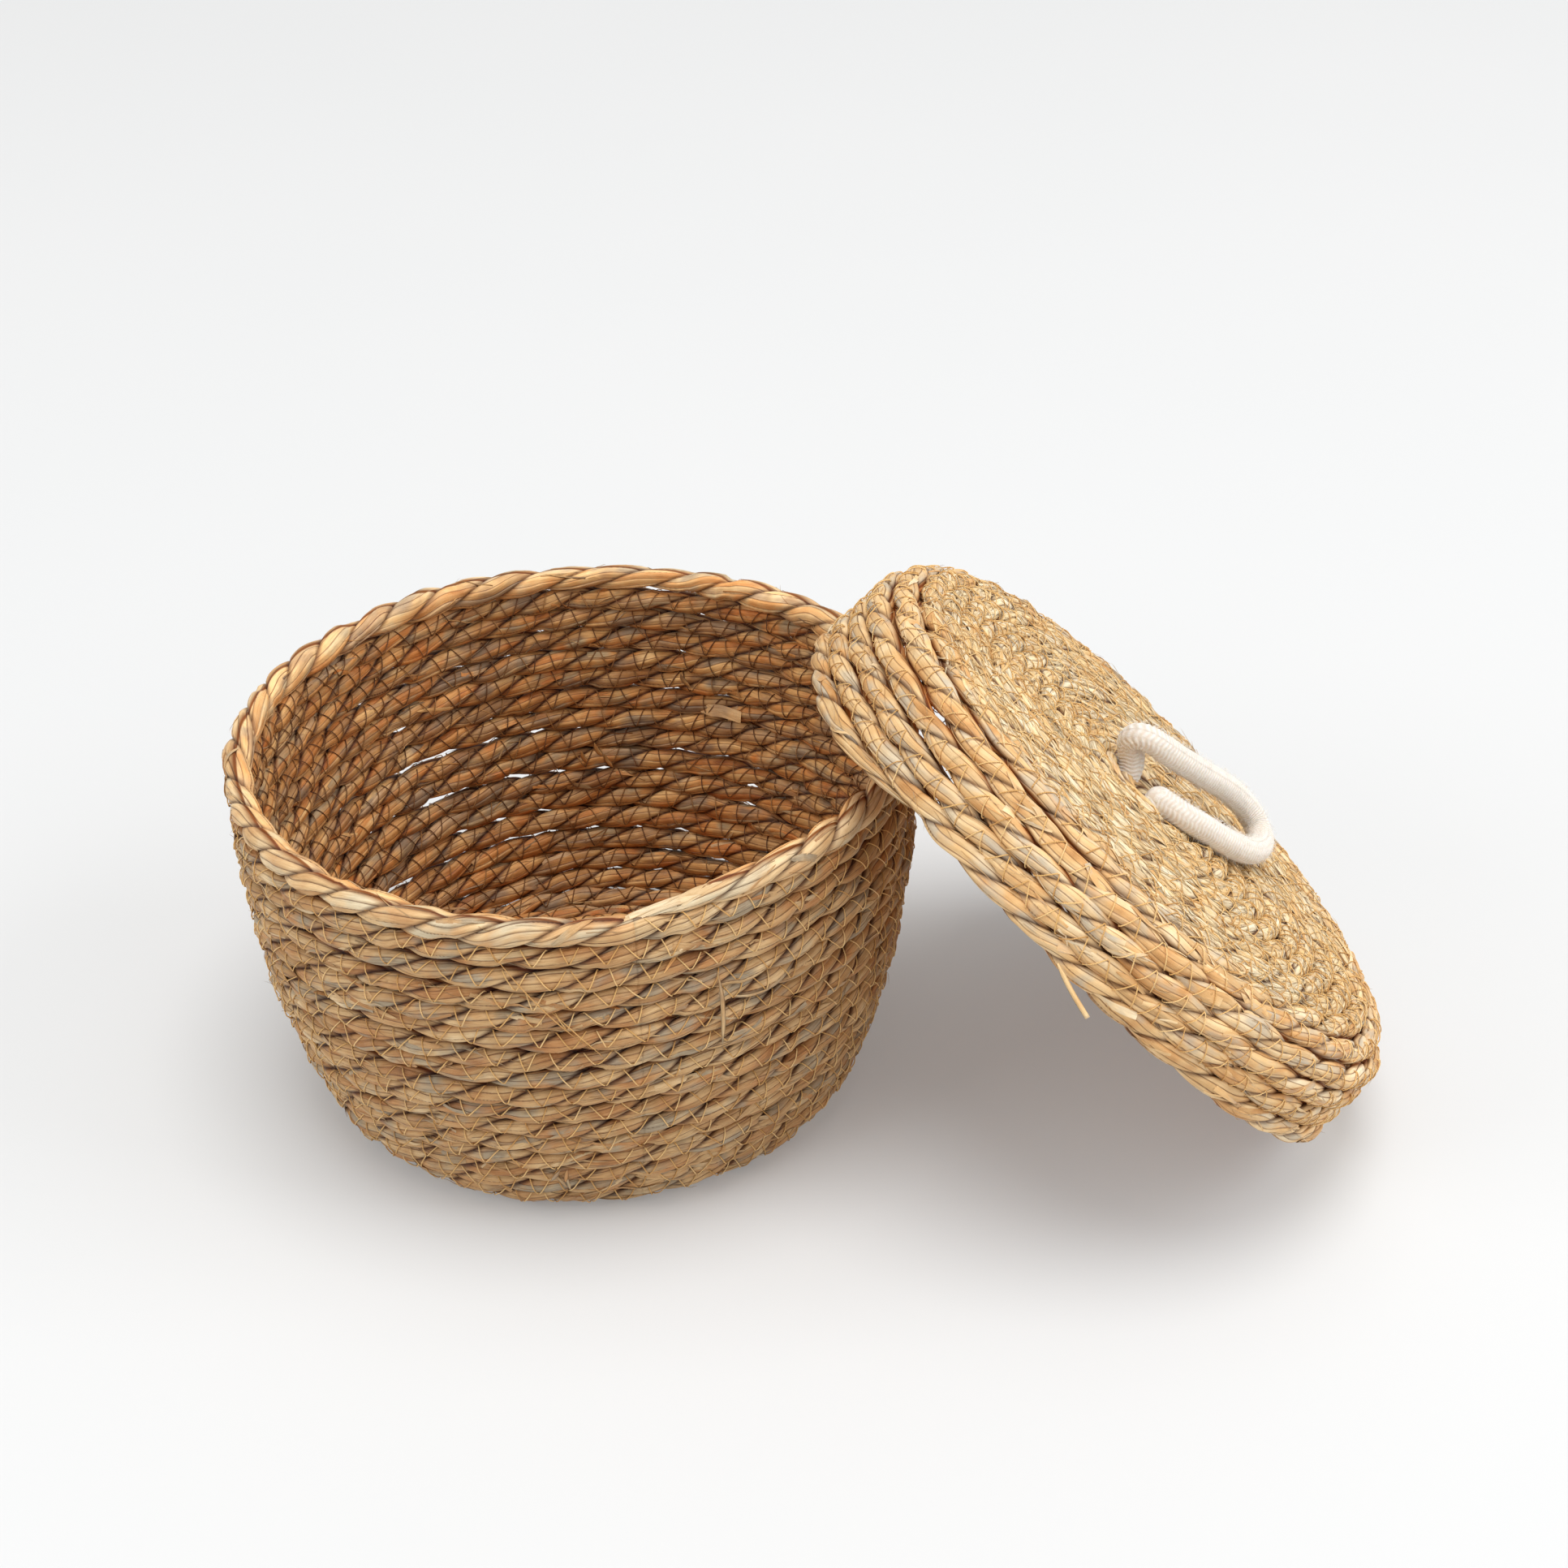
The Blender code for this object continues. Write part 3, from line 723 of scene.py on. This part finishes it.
def braided(name, points, radius, look, round_ends=(True, True), sides=72):
    """A soft cord along an evenly spaced line; its cover's slanting ribs and columns are real relief."""
    ahead, side, up = frames_along(points)
    size = np.ones(len(points))
    rounding = np.array([0.35, 0.6, 0.8, 0.92, 0.985])
    for end in (0, -1):
        if round_ends[end]:
            out = (-ahead[0] if end == 0 else ahead[-1])[None] * radius * rounding[:, None]
            more, shrink = points[end] + out, np.sqrt(1 - rounding**2)
            keep = [np.repeat(v[end][None], 5, 0) for v in (side, up)]
            if end == 0:
                points, size = np.concatenate([more[::-1], points]), np.concatenate([shrink[::-1], size])
                side, up = np.concatenate([keep[0], side]), np.concatenate([keep[1], up])
            else:
                points, size = np.concatenate([points, more]), np.concatenate([size, shrink])
                side, up = np.concatenate([side, keep[0]]), np.concatenate([up, keep[1]])
    rows = len(points)
    at = lengths(points)
    phi = np.linspace(0, TAU, sides, endpoint=False)
    column = phi[None] * WALES / TAU + 0.12 * drift(at, 900, 9 * MM)[:, None]
    x = column - np.floor(column)
    slant = np.where(np.floor(column) % 2 == 0, x, 1 - x)
    rib = 0.5 + 0.5 * np.cos(TAU * (at[:, None] / RIB + 0.55 * slant))
    groove = (0.2 + 0.8 * rib) * (0.55 + 0.45 * (4 * x * (1 - x)) ** 0.5)
    soft = 0.012 * drift(at[:, None] + 7 * MM * np.sin(phi), 905, 6 * MM)
    reach = radius * (0.945 + 0.068 * groove + soft) * size[:, None]
    verts = points[:, None] + reach[..., None] * (side[:, None] * np.cos(phi)[None, :, None]
                                                  + up[:, None] * np.sin(phi)[None, :, None])
    piece = mesh_object(name, verts.reshape(-1, 3), grid_quads(rows, sides), look, end_caps(rows, sides))
    braid = np.stack(np.broadcast_arrays(phi[None], at[:, None] / MM, groove), -1)
    write(piece, "braid", "POINT", braid.reshape(-1, 3))
    return piece


def fuzz(name, points, radius, count, look, seed):
    """Fine cotton hairs standing off a cord."""
    rng = np.random.default_rng(seed)
    ahead, side, up = frames_along(points)
    at = rng.integers(0, len(points), count)
    phi = rng.uniform(0, TAU, count)
    out = side[at] * np.cos(phi)[:, None] + up[at] * np.sin(phi)[:, None]
    lean = ahead[at] * rng.normal(0, 0.9, count)[:, None]
    lean += np.cross(ahead[at], out) * rng.normal(0, 0.7, count)[:, None]
    long = rng.uniform(0.3, 1.0, count)[:, None, None] * HAIR_LENGTH
    share = np.linspace(0, 1, 4)[None, :, None]
    base = points[at] + out * radius * 0.97
    lines = base[:, None] + long * (out[:, None] * share + lean[:, None] * share**1.6)
    piece = strands(name, lines, out[:, None] + 0 * lines, HAIR_R, HAIR_R, look, np.zeros(count))
    write(piece, "braid", "POINT", np.full((len(piece.data.vertices), 3), 0.8))
    return piece


def to_world(points):
    """From the lid's frame to the world's, where the lid leans."""
    return np.asarray(points) @ LID_TURN.T + LID_PLACE


def foot_line(top, count, foot, *stops):
    """The line of one foot: stops in millimetres from where it goes through the lid, up to its top."""
    return smooth([*(foot + Vector(stop) * MM for stop in stops), top], count)


def knot_line(foot, turn):
    """A closed trefoil knot under the lid, below a foot."""
    t = np.linspace(0, TAU, 150)
    knot = np.stack([np.sin(t) + 2 * np.sin(2 * t), np.cos(t) - 2 * np.cos(2 * t), -1.1 * np.sin(3 * t)], -1)
    spin = np.array(Matrix.Rotation(turn, 3, "Z"))
    return to_world(knot @ spin.T * KNOT_SIZE + np.array(foot) - np.array([0, 0, KNOT_DROP]))


def handle(look):
    """The cord: its loop on the handle's body, and its feet and knots on the lid's."""
    route = settle(smooth(handle_route(), 620), 420)
    # the lower leg sinks between the lid's turns as it nears its foot
    near = np.clip(1 - np.arange(len(route))[::-1] / 70, 0, 1)
    route[:, 2] -= LEG_SINKS * near**1.5
    world = to_world(route)
    loop = braided("handle_loop", world, CORD_R, look)
    foot_a = foot_line(BEND_A, 60, FOOT_A, (1.4, -0.4, -5.5), (-2.4, 0.6, 0.4), (-4.6, 1.1, 4.8),
                       (-7.4, 1.8, 8.2))
    foot_b = foot_line(BEND_B - Vector((0, 0, LEG_SINKS)), 48, FOOT_B, (1.6, -0.8, -6), (0.8, -0.4, 0))
    foot_a, foot_b = to_world(settle(foot_a, 12)), to_world(foot_b)
    a = braided("handle_foot_a", foot_a, CORD_R, look)
    b = braided("handle_foot_b", foot_b, CORD_R, look)
    knots = [braided(name, knot_line(foot, turn), KNOT_CORD_R, look, round_ends=(False, False), sides=40)
             for name, foot, turn in (("handle_knot_a", FOOT_A, 0.4), ("handle_knot_b", FOOT_B, 2.1))]
    hairs = fuzz("handle_loop_fuzz", world, CORD_R, 4200, look, 51)
    foot_hairs = fuzz("handle_feet_fuzz", np.concatenate([foot_a[20:], foot_b[20:]]), CORD_R, 300, look, 52)
    for piece, body, *nodes in (
            (loop, "handle", "handle_loop"), (hairs, "handle"), (a, "lid", "handle_foot_a"),
            (b, "lid", "handle_foot_b"), (foot_hairs, "lid"), (knots[0], "lid", "handle_knot_a"),
            (knots[1], "lid", "handle_knot_b")):
        finish_piece(piece, body, "cotton_cord", *nodes)


# ---------- basket and lid

def wall_point(azimuth, height, lift, inside=False):
    """A point just off the basket's wall, azimuth in degrees and the rest in millimetres; and the way out."""
    s = length_to(BASKET_PROFILE, height * MM)
    r, z, slope = (float(v) for v in along(BASKET_PROFILE, np.array(s)))
    face = -1 if inside else 1
    a = math.radians(azimuth)
    out = face * np.array([math.sin(slope) * math.cos(a), math.sin(slope) * math.sin(a), -math.cos(slope)])
    return np.array([r * math.cos(a), r * math.sin(a), z]) + out * (BASKET_ROPE_R + lift * MM), out


def skirt_point(azimuth, height, lift):
    """The same for the lid's side, with the height below the middle of its top."""
    s = length_to(LID_PROFILE, height * MM)
    r, z, slope = (float(v) for v in along(LID_PROFILE, np.array(s)))
    a = math.radians(azimuth)
    z += LID_WARP * math.cos(2 * (a + LID_WARP_ANGLE)) * z / LID_DEPTH
    out = np.array([-math.sin(slope) * math.cos(a), -math.sin(slope) * math.sin(a), math.cos(slope)])
    point = np.array([r * math.cos(a), r * math.sin(a), z]) + out * (LID_ROPE_R + lift * MM)
    return LID_TURN @ point + LID_PLACE, LID_TURN @ out


def strip(name, stops, half, high, look, ids=3, tone=0.3, inside=False, ends=(0.1, 0.1), lid=False):
    """A bit of flat leaf or thread over the wall, through stops of (azimuth, height, lift)."""
    points, ways = zip(*(skirt_point(*stop) if lid else wall_point(*stop, inside) for stop in stops))
    line = smooth(points, 22)
    share = np.linspace(0, 1, 22)
    known = np.linspace(0, 1, len(ways))
    way = np.stack([np.interp(share, known, part) for part in np.array(ways).T], -1)
    width = half * MM * np.minimum(1, np.minimum(ends[0] + 3 * share, ends[1] + 3 * (1 - share)))
    piece = strands(name, line[None], way[None], width[None], min(half, high) * MM, look, np.array([ids]),
                    side=-1.0 if inside else 1.0, tone=tone, smooth=half < 1)
    finish_piece(piece, *(("lid", "lid_rope") if lid else ("basket", "basket_rope")))


def marks(leaf, rim_leaf, thread):
    """The basket's own marks: a splinter, thread tails, stubs and a cut leaf."""
    strip("wall_splinter", [(-65.3, 109.5, 0.6), (-64.9, 100, 1.9), (-64.7, 88, 2.0), (-64.6, 77.6, 0.9)],
          0.85, 0.16, leaf, 5, 0.3)
    strip("wall_thread_tail_a", [(-100.8, 128.4, 0.4), (-95.5, 112, 1.0), (-90.5, 98, 1.0),
                                 (-85.8, 86.7, 0.5)], 0.22, 0.22, thread, 1)
    strip("wall_thread_tail_b", [(-91.6, 103.1, 0.4), (-87.5, 92.5, 1.0), (-84.0, 82.7, 0.6)],
          0.22, 0.22, thread, 2)
    for k, (azimuth, height, turn, long) in enumerate((
            (-94.6, 25.0, 8, 5), (-93.6, 27.5, -7, 4), (-92.8, 24.5, 3, 6), (-92.2, 28.0, -2, 5))):
        stops = [(azimuth, height, 0.2), (azimuth + turn * 0.12, height - 0.45 * long, 1.2),
                 (azimuth + turn * 0.26, height - 0.9 * long, 2.2)]
        strip(f"wall_broken_stub_{k + 1}", stops, 0.75, 0.2, leaf, 8 + k, -0.4)
    strip("inside_cut_leaf", [(67.0, 82.5, -0.4), (62.5, 84.6, 0.5), (57.5, 84.2, 0.7)],
          2.6, 0.06, rim_leaf, 41, -0.8, True, (0.3, 0.97))
    for k, (azimuth, height) in enumerate(((88.0, 60.0), (91.0, 57.0), (86.0, 55.5), (69.0, 92.0))):
        strip(f"inside_stub_{k + 1}", [(azimuth, height, 0.2), (azimuth + 1.2, height + 3.5, 1.8),
                                       (azimuth + 1.6, height + 7.0, 3.2)], 0.9, 0.2, leaf, 50 + k, 0.2, True)


def torn_end(name, rope, phi, back, beyond, half, look, ids):
    """A strip of torn leaf on a rope's last stretch, running on a little past its end."""
    u = np.linspace(rope.length - back * MM, rope.length - 4 * MM, 16)
    points, way = rope.surface(u, np.full(16, phi), 0.12 * MM)
    ahead = (points[-1] - points[-4]) / np.linalg.norm(points[-1] - points[-4])
    on = np.linspace(0, 1, 7)[1:, None]
    past = points[-1] + on * ahead * (4 + beyond) * MM + on**2 * way[-1] * 0.5 * MM
    points = np.concatenate([points, past])
    way = np.concatenate([way, np.repeat(way[-1:], 6, 0)])
    start, end = 0.15 + 4 * np.linspace(0, 1, 22), 0.55 + 3 * np.linspace(1, 0, 22)
    width = half * MM * np.minimum(1, np.minimum(start, end))
    return strands(name, points[None], way[None], width[None], 0.09 * MM, look, np.array([ids]),
                   1.0, 1.0, False)


def basket(leaf, rim_leaf, thread, inner_thread_shaded):
    """The basket's rope turn by turn, its stitches, its loose leaf, and its own marks."""
    rope = Rope(basket_line, 2.6 * MM, BASKET_END, BASKET_ROPE_R, 37 * MM, 100, 0.70 * MM,
                bold=BASKET_END - BASKET_PITCH, pinch=0.19)
    names = [f"base_turn_{i:02d}" for i in range(1, BASE_TURNS + 1)]
    names += [f"wall_turn_{i:02d}" for i in range(1, BASKET_TURNS - BASE_TURNS)] + ["rim_turn"]
    button = rope.piece("base_start_button", 2.6 * MM, BASKET_START, leaf)
    finish_piece(button, "basket", "basket_rope", "base_start_button")
    for k, name in enumerate(names):
        first = BASKET_START + k * BASKET_PITCH
        rim = name == "rim_turn"
        # the leaves grow paler towards the rim, so that no join shows
        tone = ((0, -0.9), (0.12, 0), (1, 0)) if rim else ((0, 0), (1, 0))
        tone = ((0, 0), (0.85, 0), (1, 1.5)) if name == names[-2] else tone
        turn = rope.piece(name, first, first + BASKET_PITCH, rim_leaf if rim else leaf, tone)
        finish_piece(turn, "basket", "rim_rope" if rim else "basket_rope", name)
    wall = BASKET_START + (BASE_TURNS - 1) * BASKET_PITCH
    top = BASKET_END - BASKET_PITCH
    for name, first, last, low, high, look, side, size in (
            ("wall_stitches_outside", wall, top, -0.30, 1.22, thread, 1.0, 1.0),
            ("wall_stitches_inside", wall, top, math.pi + 0.70, math.pi - 1.25, inner_thread_shaded, -1.0, 1.0),
            ("base_stitches_under", BASKET_START, wall, 0.0, 1.25, thread, 1.0, 1.0),
            ("base_stitches_inside", BASKET_START, wall, math.pi + 0.70, math.pi - 1.25, inner_thread_shaded,
             -1.0, 1.0)):
        piece = stitches(name, rope, first, last, low, high, look, 7 + len(name), side, size)
        finish_piece(piece, "basket", "basket_rope")
    for name, count, seed, faces, long, wide, lift in (
            ("basket_loose_leaf", 420, 41, (-0.9, 1.1), (5, 20), (0.4, 1.1), 1.2),
            ("basket_broad_leaf", 240, 50, (-0.8, 0.9), (9, 24), (1.3, 2.9), 0.7),
            ("basket_broad_leaf_inside", 200, 53, (math.pi - 0.9, math.pi + 0.8), (8, 20), (1.2, 2.6), 0.7),
            ("basket_loose_fibres", 900, 44, (-1.1, 1.2), (4, 16), (0.10, 0.25), 2.2),
            ("basket_loose_leaf_inside", 300, 42, (math.pi - 1.1, math.pi + 0.9), (5, 16), (0.3, 0.8), 1.0),
            ("basket_stray_hairs", 70, 49, (-1.1, 1.2), (5, 12), (0.10, 0.2), 4.5),
            ("basket_inner_fibres", 350, 45, (math.pi - 1.1, math.pi + 0.9), (4, 12), (0.1, 0.2), 1.6)):
        bits = shreds(name, rope, wall, BASKET_END, count, leaf, seed, faces, long, wide, lift)
        finish_piece(bits, "basket", "basket_rope")
    for k, (phi, back, beyond, half) in enumerate((
            (1.20, 30, 3, 1.7), (1.75, 16, 6, 1.1), (0.75, 22, 1, 1.5))):
        piece = torn_end(f"rim_torn_leaf_{k + 1}", rope, phi, back, beyond, half, rim_leaf, 30 + k)
        finish_piece(piece, "basket", "rim_rope")
    marks(leaf, rim_leaf, thread)


def lid(skirt_leaf, top_leaf, thread, inner_thread_shaded):
    """The same for the lid."""
    skirt = LID_FIRST_R + LID_TOP_TURNS * LID_PITCH
    rope = Rope(lid_line, 3.0 * MM, LID_END, LID_ROPE_R, 42 * MM, 300, 0.42 * MM,
                ragged=(3.0 * MM, skirt - 1.2 * LID_PITCH), pinch=0.10)
    names = [f"lid_top_turn_{i:02d}" for i in range(1, LID_TOP_TURNS + 1)]
    names += [f"lid_skirt_turn_{i:02d}" for i in range(1, LID_TURNS - LID_TOP_TURNS)] + ["lid_rim_turn"]
    curl = rope.piece("lid_start_curl", 3.0 * MM, LID_FIRST_R, top_leaf)
    finish_piece(curl, "lid", "lid_rope", "lid_start_curl")
    for k, name in enumerate(names):
        first = LID_FIRST_R + k * LID_PITCH
        flat = k < LID_TOP_TURNS - 1
        tone = ((0, 0.7), (1, 0.7)) if flat else ((0, 0.1), (1, 0.1))
        turn = rope.piece(name, first, first + LID_PITCH, top_leaf if flat else skirt_leaf, tone)
        finish_piece(turn, "lid", "lid_rope", name)
    for name, first, last, low, high, look, side, size in (
            ("lid_top_stitches", LID_FIRST_R, skirt, 0.0, 1.2, thread, 1.0, 0.9),
            ("lid_top_stitches_crossing", LID_FIRST_R, skirt, 0.35, -1.15, thread, 1.0, 0.9),
            ("lid_skirt_stitches", skirt, LID_END - LID_PITCH, -0.75, 1.2, thread, 1.0, 1.0),
            ("lid_stitches_under", LID_FIRST_R, LID_END - LID_PITCH, math.pi, math.pi - 1.25, inner_thread_shaded,
             -1.0, 0.8)):
        piece = stitches(name, rope, first, last, low, high, look, 19 + len(name), side, size)
        finish_piece(piece, "lid", "lid_rope")
    for name, first, last, count, seed, long, wide, lift in (
            ("lid_top_torn_leaf", LID_FIRST_R, skirt, 1500, 43, (6, 22), (0.5, 1.5), 1.0),
            ("lid_top_fibres", LID_FIRST_R, skirt, 2600, 46, (5, 20), (0.12, 0.35), 2.0),
            ("lid_skirt_broad_leaf", skirt, LID_END, 110, 54, (9, 24), (1.4, 3.2), 0.7),
            ("lid_skirt_loose_leaf", skirt, LID_END, 220, 47, (6, 20), (0.4, 1.2), 0.9),
            ("lid_skirt_fibres", skirt, LID_END, 420, 48, (5, 18), (0.10, 0.25), 2.2)):
        look = top_leaf if first < skirt else skirt_leaf
        bits = shreds(name, rope, first, last, count, look, seed, (-1.1, 1.2), long, wide, lift)
        finish_piece(bits, "lid", "lid_rope")
    # a flat stalk hangs off the lid's rim
    strip("lid_rim_stalk", [(244.5, -32.0, 0.2), (248.8, -35.6, 1.5), (253.2, -38.6, 2.6)],
          0.85, 0.3, skirt_leaf, 3, 0.9, ends=(0.4, 0.97), lid=True)


# ---------- floor and light

def lamp(name, kind, turn, colour):
    """A light of a kind, turned; gives its settings and its object."""
    data = bpy.data.lights.new(name, kind)
    data.color = colour
    made = bpy.data.objects.new(name, data)
    made.rotation_mode = "QUATERNION"
    made.rotation_quaternion = turn
    bpy.context.scene.collection.objects.link(made)
    return data, made


def area_light(name, place, aim, size, power, colour=(1, 1, 1)):
    """A soft box of a size in metres, turned towards a point."""
    data, made = lamp(name, "AREA", (Vector(aim) - Vector(place)).to_track_quat("-Z", "Y"), colour)
    data.shape, data.size, data.size_y = "RECTANGLE", *size
    data.energy, made.location = power, place


def sun_light(name, towards, softness, strength, colour):
    """A far light that stands in a direction; softness is its width in degrees."""
    data, _ = lamp(name, "SUN", Vector(towards).to_track_quat("Z", "Y"), colour)
    data.angle, data.energy = math.radians(softness), strength


FLOOR_HALF = 6.0  # metres
WORLD_STRENGTH = 0.46


def studio():
    """The floor, and soft light from above and all round, a little stronger from the right."""
    corners = [(x * FLOOR_HALF, y * FLOOR_HALF, 0) for x, y in ((-1, -1), (1, -1), (1, 1), (-1, 1))]
    floor = mesh_object("floor", corners, [(0, 1, 2, 3)], floor_look())
    sun_light("key_above", (0.06, -0.10, 0.99), 34, 1.58, (1, 0.997, 0.99))
    area_light("overhead", (0.15, 0.1, 2.2), (0.1, 0.0, 0.05), (1.6, 1.4), 7.0)
    area_light("side_right", (2.2, -0.4, 1.7), (0.12, 0.0, 0.08), (1.6, 1.4), 24.0, (0.97, 0.985, 1))
    area_light("front_left", (-1.9, -0.9, 1.2), (-0.05, 0.0, 0.05), (1.6, 1.2), 17.0, (0.95, 0.98, 1))
    area_light("front_right", (1.7, -1.5, 1.0), (0.15, 0.0, 0.05), (1.6, 1.2), 8.0)
    world = bpy.data.worlds.new("studio")
    world.use_nodes = True
    sky = world.node_tree.nodes["Background"]
    sky.inputs[0].default_value, sky.inputs[1].default_value = (1, 1, 1, 1), WORLD_STRENGTH
    bpy.context.scene.world = world
    bpy.context.scene.view_settings.view_transform = "Standard"


# ---------- the scene

camera()
handle(cotton_look())
THREAD = thread_look("sewing_thread", (206, 152, 84), (238, 192, 120), (252, 216, 154))
# the thread inside is a darker copy of the same sewing thread: painted shade, for the dim inside of the
# basket and under the lid
INNER_THREAD_SHADED = thread_look("sewing_thread_inside_shaded", (92, 56, 26), (124, 78, 38), (182, 130, 74))
BASKET_LEAF = leaf_look("basket_leaf", ((150, 100, 56), (200, 146, 94), (206, 164, 114), (224, 190, 142),
                                        (240, 216, 176), (164, 154, 136)), (255, 240, 218), 0.8)
RIM_LEAF = leaf_look("rim_leaf", ((190, 144, 96), (222, 176, 124), (232, 196, 146), (242, 212, 166),
                                  (252, 234, 200), (212, 200, 172)), (255, 246, 234), 0.6, 0.7)
LID_LEAF = leaf_look("lid_leaf", ((180, 126, 70), (224, 170, 108), (236, 194, 136), (246, 214, 164),
                                  (253, 236, 204), (196, 184, 164)), (248, 212, 162), 0.38, 0.72)
LID_TOP_LEAF = leaf_look("lid_top_leaf", ((214, 160, 96), (242, 194, 128), (251, 218, 160), (255, 236, 194),
                                          (255, 248, 224), (234, 220, 194)), (240, 204, 158), 0.95)
basket(BASKET_LEAF, RIM_LEAF, THREAD, INNER_THREAD_SHADED)
lid(LID_LEAF, LID_TOP_LEAF, THREAD, INNER_THREAD_SHADED)
studio()
